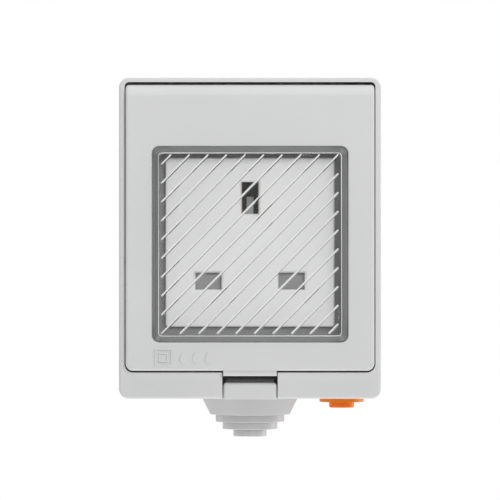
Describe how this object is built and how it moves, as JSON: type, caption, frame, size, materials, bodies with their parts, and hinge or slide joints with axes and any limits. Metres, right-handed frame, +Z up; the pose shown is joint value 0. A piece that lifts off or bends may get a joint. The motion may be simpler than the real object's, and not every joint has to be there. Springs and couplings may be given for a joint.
{
  "type": "weatherproof wall socket",
  "caption": "Surface-mounted outdoor socket for three flat pins, with a top-hinged lid, raised clear ribbed window, press-down latch, rubber cable gland and orange push button.",
  "frame": {"origin": "middle of the face that lies on the wall", "axes": "+X to the right seen from the front, +Y into the wall, +Z up"},
  "size_m": [0.0698, 0.0589, 0.0969],
  "materials": {
    "shell_grey": "fine satin moulding texture",
    "window_clear": "clear, smooth, with raised ribs",
    "seal_rubber": "matt grey rubber",
    "gland_rubber": "matt light grey rubber",
    "button_orange": "satin orange",
    "plate_white": "smooth pale grey-white",
    "shutter_grey": "mid grey",
    "module_black": "black moulding",
    "steel": "zinc plated",
    "brass": "pressed strip",
    "board_green": "solder mask",
    "component_dark": "black case",
    "component_yellow": "yellow wrap",
    "fuse_ceramic": "white tube"
  },
  "bodies": {
    "housing": {"rear_box": "shell_grey", "front_frame": "shell_grey", "box_gasket": "seal_rubber", "socket_gasket": "seal_rubber", "cable_gland": "gland_rubber", "button_bezel": "button_orange", "socket_plate": "plate_white", "socket_body": "module_black", "terminal_block": "module_black", "button_nut": "module_black", "hinge_pin": "steel", "frame_screws": "steel", "module_screws": "steel", "board_screws": "steel", "terminal_screws": "steel", "latch_spring": "steel", "shutter_spring": "steel", "radio_module": "steel", "live_contact": "brass", "neutral_contact": "brass", "earth_contact": "brass", "terminal_clamps": "brass", "control_board": "board_green", "relay": "component_dark", "filter_capacitor": "component_dark", "tact_switch": "component_dark", "transformer": "component_yellow", "film_capacitor": "component_yellow", "fuse": "fuse_ceramic"},
    "lid": {"lid": "shell_grey", "window": "window_clear", "lid_seal": "seal_rubber"},
    "latch": {"latch": "shell_grey", "latch_hook": "module_black"},
    "button": {"button_cap": "button_orange", "tact_plunger": "component_dark"},
    "shutter": {"shutter": "shutter_grey"}
  },
  "joints": [
    {"name": "lid_hinge", "type": "hinge", "parent": "housing", "child": "lid", "pos_m": [0, -0.053, 0.0376], "axis": [-1, 0, 0], "range_deg": [0, 105]},
    {"name": "latch_slide", "type": "slide", "parent": "housing", "child": "latch", "axis": [0, 0, -1], "range_m": [0, 0.0015], "stiffness_N_per_m": 400, "springref_m": -0.004, "deforming": ["latch_spring"]},
    {"name": "button_press", "type": "slide", "parent": "housing", "child": "button", "axis": [0, 0, 1], "range_m": [0, 0.0008], "stiffness_N_per_m": 1500, "springref_m": -0.0005},
    {"name": "shutter_slide", "type": "slide", "parent": "housing", "child": "shutter", "axis": [0, 0, -1], "range_m": [0, 0.0052], "stiffness_N_per_m": 200, "springref_m": -0.004, "deforming": ["shutter_spring"]}
  ]
}
